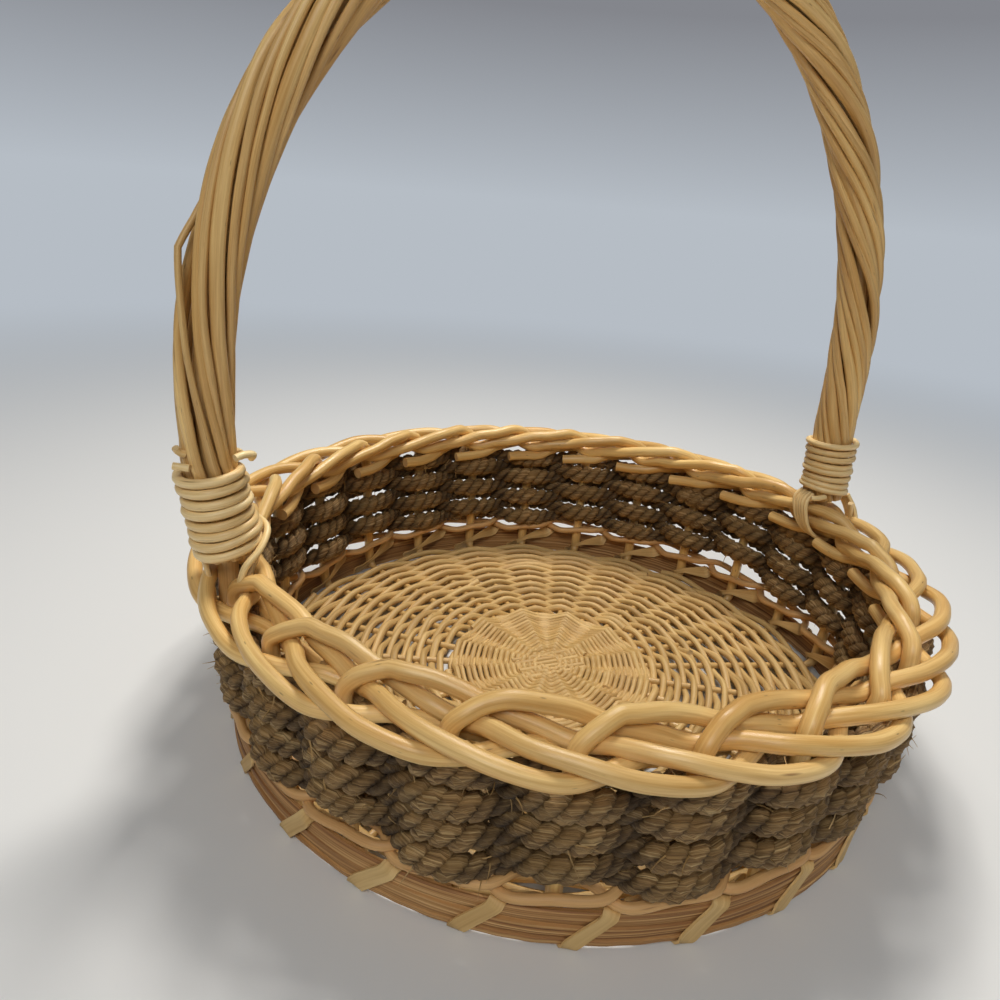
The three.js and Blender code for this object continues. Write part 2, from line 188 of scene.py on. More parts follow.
def eased(points, step):
    """Evenly spaced points on a smooth centripetal curve. Columns after x, y, z are carried along."""
    p = np.asarray(points, float)
    p = np.vstack([2 * p[0] - p[1], p, 2 * p[-1] - p[-2]])
    knots = np.concatenate([[0], np.cumsum(np.sqrt(np.linalg.norm(np.diff(p[:, :3], axis=0), axis=1)))])

    def between(u, a, b, start, stop):
        return ((stop - u) * a + (u - start) * b) / (stop - start)

    curve = []
    for i in range(1, len(p) - 2):
        u = np.linspace(knots[i], knots[i + 1], 14, endpoint=False)[:, None]
        a = [between(u, p[j], p[j + 1], knots[j], knots[j + 1]) for j in (i - 1, i, i + 1)]
        b = [between(u, a[j], a[j + 1], knots[i - 1 + j], knots[i + 1 + j]) for j in (0, 1)]
        curve.append(between(u, b[0], b[1], knots[i], knots[i + 1]))
    curve = np.vstack([*curve, p[-2:-1]])
    length = np.concatenate([[0], np.cumsum(np.linalg.norm(np.diff(curve[:, :3], axis=0), axis=1))])
    at = np.linspace(0, length[-1], max(2, round(length[-1] / step) + 1))
    return np.stack([np.interp(at, length, column) for column in curve.T], axis=1)


def grown(name, routes, tree, settings, seed):
    """A finished mesh object grown on routes by a tree. A route's columns are x, y, z, half thickness,
    and a facing direction where the tree needs one."""
    points = np.vstack(routes)
    starts = np.cumsum([0, *map(len, routes)])
    edges = [(i, i + 1) for a, b in zip(starts, starts[1:]) for i in range(a, b - 1)]
    mesh = bpy.data.meshes.new(name)
    mesh.from_pydata(points[:, :3].tolist(), edges, [])
    numbers = np.random.default_rng(seed).random(len(routes))
    mesh.attributes.new("half", "FLOAT", "POINT").data.foreach_set("value", points[:, 3])
    rod = np.concatenate([np.full(len(r), n) for r, n in zip(routes, numbers)])
    mesh.attributes.new("rod", "FLOAT", "POINT").data.foreach_set("value", rod)
    if points.shape[1] == 7:
        facing = mesh.attributes.new("facing", "FLOAT_VECTOR", "POINT")
        facing.data.foreach_set("vector", points[:, 4:].ravel())
    piece = bpy.data.objects.new(name, mesh)
    bpy.context.scene.collection.objects.link(piece)
    grower = piece.modifiers.new("grower", "NODES")
    grower.node_group = tree
    for socket in tree.interface.items_tree:
        if socket.in_out == "INPUT" and socket.name in settings:
            grower[socket.identifier] = settings[socket.name]
    bpy.context.view_layer.update()
    solid = bpy.data.meshes.new_from_object(piece.evaluated_get(bpy.context.evaluated_depsgraph_get()))
    piece.modifiers.remove(grower)
    piece.data = solid
    solid.name = name
    bpy.data.meshes.remove(mesh)
    return piece


def fit(piece, slot, *nodes):
    """The piece stands for these nodes of the basket, which are hidden, and hangs from the root body. The
    slot is not used.
    """
    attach(piece, "root")
    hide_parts(*nodes)


def srgb(red, green, blue):
    """A colour as seen, 0 to 255, as the linear colour that a shader takes."""
    seen = np.array([red, green, blue]) / 255
    linear = np.where(seen <= 0.04045, seen / 12.92, ((seen + 0.055) / 1.055) ** 2.4)
    return (*linear.tolist(), 1.0)


def new_finish(name):
    """An empty material and a wire into its tree."""
    material = bpy.data.materials.new(name)
    material.use_nodes = True
    material.node_tree.nodes.clear()
    return material, Wire(material.node_tree)


def tone(wire, factor, low, high, how="MIX"):
    """Two colours mixed by a factor."""
    return wire.add("ShaderNodeMix", {"data_type": "RGBA", "blend_type": how},
                    {"Factor": factor, "A": low, "B": high})


def spread(wire, value, low, high):
    """A value's range from low to high drawn out to 0 to 1."""
    return wire.add("ShaderNodeMapRange", None, {"Value": value, "From Min": low, "From Max": high})


def noise(wire, place, detail=3.0):
    """Soft noise at a place, from 0 to 1."""
    return wire.add("ShaderNodeTexNoise", None,
                    {"Vector": place, "Scale": 1.0, "Detail": detail, "Roughness": 0.6})


def grain(wire, lengthwise, crosswise):
    """A place on a rod: cycles to the metre along it, and how busy it is around."""
    along = wire.add("ShaderNodeAttribute", {"attribute_name": "along"}, out="Fac")
    around = wire.add("ShaderNodeAttribute", {"attribute_name": "around"}, out="Vector")
    lift = wire.add("ShaderNodeCombineXYZ", None, {"Z": along * lengthwise})
    return wire.add("ShaderNodeVectorMath", {"operation": "MULTIPLY_ADD"},
                    {0: around, 1: (crosswise,) * 3, 2: lift})


def peeled_willow(name, pale, deep, tinge, rough, foot=None):
    """Peeled willow: long soft streaks, each rod its own tint, dark flecks, now and then a knot, and pale
    cut ends. The part of a rod that lies in the base can have a colour of its own."""
    material, wire = new_finish(name)
    own = wire.add("ShaderNodeAttribute", {"attribute_name": "rod"}, out="Fac")
    cut = wire.add("ShaderNodeAttribute", {"attribute_name": "cut"}, out="Fac")
    streaks = noise(wire, grain(wire, 40.0, 4.5), 5.0)
    clouds = noise(wire, grain(wire, 16.0, 0.7), 2.0)
    colour = tone(wire, spread(wire, streaks * 0.45 + clouds * 0.55, 0.34, 0.62), deep, pale)
    blush = spread(wire, noise(wire, grain(wire, 9.0, 0.5), 1.0), 0.5, 0.72)
    colour = tone(wire, blush * 0.55, colour, tinge)
    rod_tint = wire.add("ShaderNodeValToRGB", {"stops": [
        (0.0, (0.86, 0.83, 0.78, 1)), (0.35, (1.0, 0.97, 0.94, 1)), (0.7, (1.04, 1.04, 1.0, 1)),
        (1.0, (0.95, 0.9, 0.82, 1)),
    ]}, {"Fac": own})
    colour = tone(wire, 1.0, colour, rod_tint, "MULTIPLY")
    if foot is not None:
        place = wire.add("ShaderNodeTexCoord", out="Object")
        height = wire.add("ShaderNodeSeparateXYZ", None, {"Vector": place}, "Z")
        colour = tone(wire, 0.8 - spread(wire, height, 0.011, 0.02) * 0.8, colour, foot)
    fleck_at = grain(wire, 120.0, 1.6)
    flecks = wire.add("ShaderNodeTexVoronoi", None, {"Vector": fleck_at, "Scale": 1.0})
    chance = wire.add("ShaderNodeTexVoronoi", None, {"Vector": fleck_at, "Scale": 1.0}, "Color")
    chosen = wire.add("ShaderNodeSeparateColor", None, {"Color": chance}, "Red") > 0.72
    fleck = (1.0 - spread(wire, flecks, 0.05, 0.16)) * chosen
    knots = wire.add("ShaderNodeTexVoronoi", None, {"Vector": grain(wire, 22.0, 0.55), "Scale": 1.0})
    knot = 1.0 - spread(wire, knots, 0.03, 0.1)
    colour = tone(wire, fleck * 0.6, colour, srgb(104, 68, 36))
    colour = tone(wire, knot * 0.7, colour, srgb(128, 82, 42))
    colour = tone(wire, cut * 0.7, colour, srgb(214, 184, 134))
    fine = noise(wire, grain(wire, 90.0, 14.0), 3.0)
    height = streaks * 0.5 + fine * 0.35 - fleck * 0.3 + knot * 0.5
    bump = wire.add("ShaderNodeBump", None, {"Strength": 0.35, "Distance": 0.0004, "Height": height})
    shader = wire.add("ShaderNodeBsdfPrincipled", None,
                      {"Base Color": colour, "Roughness": rough + streaks * 0.22 + cut * 0.2, "Normal": bump,
                       "Specular IOR Level": 0.5})
    wire.add("ShaderNodeOutputMaterial", None, {"Surface": shader})
    return material


stakes = sorted(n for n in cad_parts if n.startswith("stake_"))
spacing = 2 * math.pi / len(stakes)
mat_low, mat_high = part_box("base_weave")
left_low, left_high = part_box("collar_left")
left_foot = (left_low + left_high) / 2
FOOT_PHASE = 0.8  # a foot of the handle, in spacings past a stake
first_stake = math.atan2(left_foot.y, left_foot.x) - FOOT_PHASE * spacing
spoke_z = (mat_low.z + mat_high.z) / 2


def on_ring(radius, along, z):
    """A point at a radius and a height, so many stake spacings past the first stake."""
    a = first_stake + along * spacing
    return [radius * math.cos(a), radius * math.sin(a), z]


SPOKE_HALF = 0.0016
STICK_HALF = 0.00155
STICKS = 6  # laid side by side each way
STICK_REACH = (-0.017, -0.006, 0.006, 0.017)  # along a stick, from the middle of the base
WEAVER_HALF = 0.0019
FIRST_ROW = 0.05195
LAST_ROW = 0.1405
ROW_PITCH = 0.00375
PRESSED = 0.66  # share of a full stroke, because weaver and spoke press into each other
DENSE_HALF = 0.00145
DENSE_PITCH = 0.0029
DENSE_START = 0.0045
DENSE_ROD = 34  # length of a thin rod, in ridges
OPEN_ROD = 41  # length of a weaver, in spokes
RIDGES = 12
RIDGE_LIFT = 0.0019
RIDGE_FULL = 0.03  # radius at which a ridge has its full height
DENSE_LIFT = 0.00185
LOOSE_REACH = 0.007  # how far a parted place pushes the rows beside it
LOOSE_PLACES = [  # where two rows have parted: radius, direction, half width in radians, width of the gap
    (0.118, 0.15, 0.3, 0.0016), (0.097, 0.45, 0.25, 0.0012), (0.126, 1.0, 0.25, 0.0012),
    (0.085, -0.2, 0.3, 0.001), (0.108, 2.3, 0.3, 0.001), (0.122, 3.4, 0.35, 0.001),
    (0.092, 4.6, 0.3, 0.001), (0.113, 5.3, 0.3, 0.0014),
]

rods = rod_tree()
base_willow = peeled_willow("base willow", srgb(222, 190, 130), srgb(176, 140, 84), srgb(188, 156, 98), 0.42)


def crossed_sticks():
    """Short willow sticks side by side, as many again across them."""
    for first, lift in ((0.5, STICK_HALF), (0.5 + len(stakes) / 4, -STICK_HALF)):
        way = np.array(on_ring(1.0, first, 0))
        side = np.array([-way[1], way[0], 0])
        for k in range(STICKS):
            aside = (k - (STICKS - 1) / 2) * 2 * STICK_HALF
            ends = [way * reach + side * aside + [0, 0, spoke_z + lift] for reach in STICK_REACH]
            yield np.column_stack([ends, np.full(len(ends), STICK_HALF)])


def dense_rows(layer):
    """Places along the thin rods of the middle, above the sticks or below them, counted in ridges."""
    m = np.arange(0, (FIRST_ROW - DENSE_START) / DENSE_PITCH * RIDGES - 6, 1 / 8)
    radius = DENSE_START + DENSE_PITCH * (m / RIDGES + (0 if layer > 0 else 0.5))
    from_ridge = np.abs((m + 0.5) % 1 - 0.5)
    crest = 1 - 2 * np.sin(math.pi * from_ridge)
    z = spoke_z + layer * (DENSE_LIFT + RIDGE_LIFT * np.minimum(radius / RIDGE_FULL, 1) * crest)
    return m, np.array([on_ring(r, a, h) for r, a, h in zip(radius, m * len(stakes) / RIDGES, z)])


def open_rows():
    """Places along the weaver of the open rows, over one spoke and under the next, counted in spokes."""
    draws = np.random.default_rng(11)
    m = np.arange(0, (LAST_ROW - FIRST_ROW) / ROW_PITCH * len(stakes), 1 / 7)
    count = int(m[-1]) + 2
    radius = FIRST_ROW + ROW_PITCH * m / len(stakes)
    radius = radius + np.interp(m, np.arange(count), draws.normal(0, 0.0003, count))
    for middle, way, wide, gap in LOOSE_PLACES:
        off = np.angle(np.exp(1j * (first_stake + m * spacing - way)))
        parted = gap / 2 * np.exp(-((off / wide) ** 2) - np.abs(radius - middle) / LOOSE_REACH)
        radius = radius + np.sign(radius - middle) * parted
    lift = (SPOKE_HALF + WEAVER_HALF) * PRESSED
    z = spoke_z + lift * np.cos(math.pi * m)
    return m, np.array([on_ring(r, a, h) for r, a, h in zip(radius, m, z)])


def rods_of(m, places, rod_reach, thick, seed):
    """A long weaver cut into the rods that it is made of. Each thins towards its tip, and each new rod
    starts beside the end of the last, a little further out and higher."""
    draws = np.random.default_rng(seed)
    tail = 1.6
    for start in np.arange(0, m[-1], rod_reach):
        inside = (m >= start - tail) & (m <= start + rod_reach)
        share = np.clip((m[inside] - start) / rod_reach, 0, 1)
        early = np.clip((start - m[inside]) / tail, 0, 1)
        outward = places[inside] * [1, 1, 0]
        outward = outward / np.linalg.norm(outward, axis=1)[:, None]
        beside = places[inside] + (early * thick * 1.5)[:, None] * outward
        beside[:, 2] += early * thick * 0.7
        half = thick * draws.uniform(0.9, 1.08) * (1.06 - 0.2 * share)
        yield np.column_stack([beside, half])


base_routes = list(crossed_sticks())
for layer in (1, -1):
    m, places = dense_rows(layer)
    base_routes += list(rods_of(m, places, DENSE_ROD, DENSE_HALF, 12 + layer))
m, places = open_rows()
base_routes += list(rods_of(m, places, OPEN_ROD, WEAVER_HALF, 15))
base = grown("base_weavers", base_routes, rods,
             {"Sides": 8, "Uneven": 0.22, "Wander": 0.0007, "Waves": 60.0, "Finish": base_willow}, 3)
fit(base, "willow", "base_weave")


# The stakes: peeled willow rods. Each lies in the base as a spoke, is pricked up at the edge, stands in the
# wall and is rolled over behind two neighbours and in front of two more as the border. Its cut end lies
# inside.
RING_FOOT = 0.1445
RING_TOP = 0.150
STAKE_HALF = 0.00305
WALL_HALF = 0.0028  # where the rope squeezes it
SPOKE_START = 0.046
UPSETT_R = 0.005  # the bend where a spoke turns up, and the rod's half thickness in it
UPSETT_HALF = 0.0024
TUCK_Z = 0.0756
WALE_Z = 0.0215
BORDER_ROUTE = [  # spacings along the rim, then metres outwards and upwards
    (0.02, -0.0002, 0.0046), (0.10, -0.0018, 0.0080), (0.22, -0.0044, 0.0104), (0.35, -0.0068, 0.0119),
    (0.45, -0.0081, 0.0120), (0.75, -0.0104, 0.0108), (1.00, -0.01098, 0.00897), (1.35, -0.01017, 0.00579),
    (1.70, -0.00895, 0.00372), (2.01, -0.00673, 0.00154), (2.31, -0.00179, 0.00520), (2.65, 0.00560, 0.00744),
    (3.00, 0.00973, 0.00692), (3.45, 0.01238, 0.00443), (3.90, 0.01115, 0.00128), (4.20, 0.00523, 0.0),
    (4.46, -0.00116, 0.0), (4.64, -0.00475, -0.0005), (4.85, -0.0080, -0.0029), (5.10, -0.0098, -0.0038),
    (5.42, -0.0104, -0.0040),
]


def ring_at(z):
    """Radius of the circle of stakes at a height."""
    return RING_FOOT + (RING_TOP - RING_FOOT) * z / TUCK_Z


border_willow = peeled_willow("border willow", srgb(248, 216, 150), srgb(206, 162, 92), srgb(214, 162, 88),
                              0.24, srgb(198, 162, 102))
draws = np.random.default_rng(21)
for k, node in enumerate(stakes):
    thick = draws.uniform(0.95, 1.06)
    bend = UPSETT_R * (1 - math.sqrt(0.5))
    foot = ring_at(spoke_z)
    route = [(*on_ring(r, k, spoke_z), SPOKE_HALF) for r in np.linspace(SPOKE_START, foot - UPSETT_R, 8)]
    route.append((*on_ring(foot - bend, k, spoke_z + bend), UPSETT_HALF))
    for z in (spoke_z + UPSETT_R, WALE_Z, 0.04, 0.06):
        route.append((*on_ring(ring_at(z), k, z), WALL_HALF * thick))
    route.append((*on_ring(RING_TOP, k, TUCK_Z), STAKE_HALF * thick))
    for along, out, up in BORDER_ROUTE:
        jolt = draws.normal(0, 0.0003, 2)
        place = on_ring(RING_TOP + out + jolt[0], k + along, TUCK_Z + up + jolt[1])
        route.append((*place, STAKE_HALF * thick * (1.03 - 0.02 * along)))
    stake = grown("willow_" + node, [eased(route, 0.0022)], rods,
                  {"Sides": 12, "Uneven": 0.1, "Wander": 0.0007, "Waves": 26.0, "Finish": border_willow},
                  100 + k)
    fit(stake, "willow", node)


# The foot hoop: a flat splint of brown wood bent round the outside of the stakes. Its face was riven, not
# sawn, so it runs in long shallow steps that open and close, and its lower edge is ragged.
hoop_low, hoop_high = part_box("base_hoop")
HOOP_T = 0.002
HOOP_STEPS = 500
RAGGED_FOOT = 0.0011
RAGGED_TOP = 0.0004
STEP_DRIFT = 0.0007  # up and down, of each step on the face
STEP_OPENS = 1.2  # share by which a step's depth changes
HOOP_FACE = [  # up the outer face: height as a share, and how far the step stands back
    (0.0, 0.0009), (0.04, 0.0001), (0.16, 0.0), (0.18, 0.0007), (0.36, 0.0003), (0.38, 0.0), (0.55, 0.0001),
    (0.57, 0.0008), (0.76, 0.0005), (0.78, 0.0), (0.95, 0.0002), (1.0, 0.0007),
]


def riven_splint():
    """Riven wood: long dark and light fibres along the splint, with dark cracks between them."""
    material, wire = new_finish("riven splint")
    fibres = noise(wire, grain(wire, 9.0, 1.0), 6.0)
    cracks = noise(wire, grain(wire, 5.0, 2.2), 4.0)
    colour = wire.add("ShaderNodeValToRGB", {"stops": [
        (0.28, srgb(92, 58, 30)), (0.42, srgb(148, 102, 58)),
        (0.55, srgb(188, 142, 86)), (0.7, srgb(230, 192, 136)),
    ]}, {"Fac": fibres})
    crack = 1.0 - spread(wire, cracks, 0.3, 0.4)
    colour = tone(wire, crack * 0.6, colour, srgb(84, 56, 32))
    bump = wire.add("ShaderNodeBump", None,
                    {"Strength": 0.6, "Distance": 0.0006, "Height": fibres - crack * 0.5})
    shader = wire.add("ShaderNodeBsdfPrincipled", None,
                      {"Base Color": colour, "Roughness": 0.55 + fibres * 0.2, "Normal": bump})
    wire.add("ShaderNodeOutputMaterial", None, {"Surface": shader})
    return material


def wavy(angle, seed, waves):
    """A smooth closed ripple round the basket, about -1 to 1."""
    draws = np.random.default_rng(seed)
    return sum(draws.uniform(0.3, 1) * np.sin(n * angle + draws.uniform(0, 7)) for n in waves) / len(waves)


hoop_outer = hoop_high.x
hoop_rise = hoop_high.z - hoop_low.z
angles = np.arange(HOOP_STEPS) * 2 * math.pi / HOOP_STEPS
outline = [(back, share) for share, back in HOOP_FACE]
outline += [(HOOP_T, share) for share in (1.0, 0.66, 0.33, 0.0)]
lower = RAGGED_FOOT * wavy(angles, 5, (3, 7, 16, 31, 53, 81)) + 0.0003
upper = RAGGED_TOP * wavy(angles, 6, (2, 5, 11, 29))
verts = []
grains = []
for i, (back, share) in enumerate(outline):
    on_face = 0 < i < len(HOOP_FACE) - 1
    drift = STEP_DRIFT * wavy(angles, 70 + i // 2, (3, 5, 8, 13)) if on_face else 0
    open_step = back * (1 + STEP_OPENS * wavy(angles, 90 + i // 2, (4, 7, 11))) if on_face else back
    edge = lower * (1 - 2 * share) if share < 0.5 else upper
    z = hoop_low.z + hoop_rise * share + drift + edge
    radius = hoop_outer - open_step + 0 * angles
    verts.append(np.stack([radius * np.cos(angles), radius * np.sin(angles), z], axis=1))
    grains.append(np.tile([14 * share + (3 if i >= len(HOOP_FACE) else 0), 0.0, 0.0], (HOOP_STEPS, 1)))
rows = len(outline)
faces = []
for i in range(rows):
    for j in range(HOOP_STEPS):
        n = (j + 1) % HOOP_STEPS
        ni = (i + 1) % rows
        faces.append((i * HOOP_STEPS + j, i * HOOP_STEPS + n, ni * HOOP_STEPS + n, ni * HOOP_STEPS + j))
mesh = bpy.data.meshes.new("foot_hoop")
mesh.from_pydata(np.vstack(verts).tolist(), [], faces)
mesh.attributes.new("around", "FLOAT_VECTOR", "POINT").data.foreach_set("vector", np.vstack(grains).ravel())
round_hoop = np.tile(angles * hoop_outer, rows)
mesh.attributes.new("along", "FLOAT", "POINT").data.foreach_set("value", round_hoop)
mesh.materials.append(riven_splint())
hoop = bpy.data.objects.new("foot_hoop", mesh)
bpy.context.scene.collection.objects.link(hoop)
fit(hoop, "splint", "base_hoop")


# The lashing: one long pale splint that binds the hoop to the stakes. It climbs the hoop outside, folds
# over its top, is drawn tight across the next stake inside and goes under the hoop again.
LASH_HALF_W = 0.0030
LASH_HALF_T = 0.00045
LASH_OFF = 0.0007
LASH_CROSS_Z = 0.012  # where it crosses a stake inside
CLIMBED = 8  # the first place of a turn that is up the hoop again
hoop_inner = hoop_outer - HOOP_T


def strip_tree():
    """Flat strips along lines, turned to face the way that each point says."""
    tree, given, end = new_tree("strips along lines", {"Thin": "Float"})
    wire = Wire(tree)
    curve = wire.add("GeometryNodeMeshToCurve", None, {"Mesh": given["Lines"]})
    length = wire.add("GeometryNodeSplineParameter", out="Length")
    curve = noted(curve, "along", length + own_value(wire, "rod") * ROD_SHIFT)
    curve = wire.add("GeometryNodeSetCurveNormal", {"mode": "FREE"},
                     {"Curve": curve, "Normal": own_value(wire, "facing", "FLOAT_VECTOR")})
    section = wire.add("GeometryNodeCurvePrimitiveQuadrilateral", None,
                       {"Width": given["Thin"] * 2.0, "Height": 2.0})
    section = noted(section, "around", wire.add("GeometryNodeInputPosition"), "FLOAT_VECTOR")
    end_tree(given, end, tube(wire, curve, section, own_value(wire, "half")))
    return tree


def folded(points, corner, step):
    """A route of straight runs between points, with small round corners."""
    p = np.asarray(points, float)
    bent = [p[0]]
    for a, b in zip(p, p[1:]):
        reach = min(corner / np.linalg.norm(b[:3] - a[:3]), 0.35)
        bent += [a + (b - a) * reach, (a + b) / 2, b + (a - b) * reach]
    return eased([*bent, p[-1]], step)


def lash_turn(k, draws):
    """One turn, from inside the hoop's top to its top again: places, half widths and the face's direction."""
    over = ring_at(LASH_CROSS_Z) - WALL_HALF - LASH_HALF_T - 0.0003
    top = hoop_high.z + LASH_OFF
    low = LASH_HALF_T + 0.0005
    turn = [
        (-0.42, hoop_inner - LASH_OFF, top - 0.0016, 1.3, -1.0, 0.0),
        (-0.10, over + 0.0004, hoop_low.z + 0.82 * hoop_rise, 0.5, -1.0, 0.1),
        (0.0, over, hoop_low.z + 0.70 * hoop_rise, 0.36, -1.0, 0.0),
        (0.10, over + 0.0004, hoop_low.z + 0.56 * hoop_rise, 0.5, -1.0, -0.1),
        (0.17, hoop_inner - LASH_OFF, hoop_low.z + 0.16 * hoop_rise, 1.3, -1.0, 0.0),
        (0.185, hoop_inner - LASH_OFF + 0.0004, low + 0.0006, 1.0, -0.7, -0.7),
        (0.20, hoop_outer + LASH_OFF - 0.0004, low + 0.0006, 1.0, 0.7, -0.7),
        (0.22, hoop_outer + LASH_OFF, hoop_low.z + 0.1 * hoop_rise, 1.0, 1.0, 0.0),
        (0.50, hoop_outer + LASH_OFF, hoop_low.z + 0.94 * hoop_rise, 1.0, 1.0, 0.0),
        (0.52, hoop_outer, top, 1.0, 0.5, 0.9),
        (0.535, hoop_inner, top, 1.0, -0.5, 0.9),
    ]
    shift = draws.normal(0, 0.025)
    lean = draws.normal(0, 0.03)
    wide = draws.uniform(0.86, 1.08)
    for i, (along, radius, z, share, out, up) in enumerate(turn):
        place = np.array(on_ring(radius, k + along + shift + (lean if i >= CLIMBED else 0), z))
        outward = np.array([place[0], place[1], 0]) / np.hypot(place[0], place[1])
        yield (*place, LASH_HALF_W * share * wide, *(outward * out + [0, 0, up]))


lash_willow = peeled_willow("lashing splint", srgb(228, 198, 138), srgb(198, 160, 98), srgb(206, 170, 108),
                            0.45)
draws = np.random.default_rng(31)
lash_points = [p for k in range(len(stakes)) for p in lash_turn(k, draws)]
lashing = grown("foot_lashing", [folded(lash_points, 0.0008, 0.0009)], strip_tree(),
                {"Thin": LASH_HALF_T / LASH_HALF_W, "Finish": lash_willow}, 8)
fit(lashing, "cane", "base_lashing")


# The wale: a pair of thinner willow rods twined round the stakes above the hoop, each outside one stake
# and inside the next. The one that goes in passes over the one that comes out.
WALE_HALF = 0.0019
WALE_FLAT = {1: 0.42, -1: 0.3}  # half of a stroke outside and inside, in spacings
WALE_OUT = 0.0047  # a stroke's middle from the circle of stakes, outside them
WALE_IN = 0.0037  # and inside
wale_lift = WALE_HALF * 0.75
wale_willow = peeled_willow("wale willow", srgb(228, 186, 126), srgb(196, 150, 94), srgb(204, 154, 98), 0.42)
draws = np.random.default_rng(35)
for first in (0, 1):
    route = []
    for m in range(len(stakes) + 1):
        side = 1 if (m + first) % 2 == 0 else -1
        sag = draws.normal(0, 0.0005)
        reach = WALE_OUT if side > 0 else -WALE_IN
        for part in (-1, 0, 1):
            z = WALE_Z + sag + side * part * wale_lift
            route.append((*on_ring(ring_at(z) + reach, m + part * WALE_FLAT[side], z), WALE_HALF))
    rod = grown(f"wale_{first + 1}", [eased(route, 0.0025)], rods,
                {"Sides": 10, "Uneven": 0.2, "Wander": 0.0008, "Waves": 30.0, "Finish": wale_willow},
                60 + first)
    fit(rod, "willow", f"wale_rod_{first + 1}")


# The wall: one rope laid up from two strands of dry seagrass, woven in and out of the stakes for seven
# rounds. A round runs level and steps up at its end. Each strand is a hank of flat blades, ridged and lumpy,
# and broken blades stand out of it.
ROPE_PITCH = 0.0066
ROPE_START = 0.0290
ROPE_ROUNDS = 7
ROPE_BEGINS = -10  # in spacings past the first stake
ROPE_LEVEL = 20  # spacings before it steps up
ROPE_LAY = 0.0125  # rope to one full turn of its strands
STRAND_HALF = 0.0032
LAY_OUT = 0.5  # from the rope's middle to a strand's, in and out, in strand halves
LAY_UP = 0.78  # and up and down
ROPE_FLAT = 0.2  # half of a stroke's straight part, in spacings
ROPE_SUNK = 0.0030  # how deep it is pressed on a stake
ROPE_CROSS = 0.74  # its thickness where it passes between two stakes
rope_reach = WALL_HALF + STRAND_HALF * (1 + LAY_OUT) - ROPE_SUNK


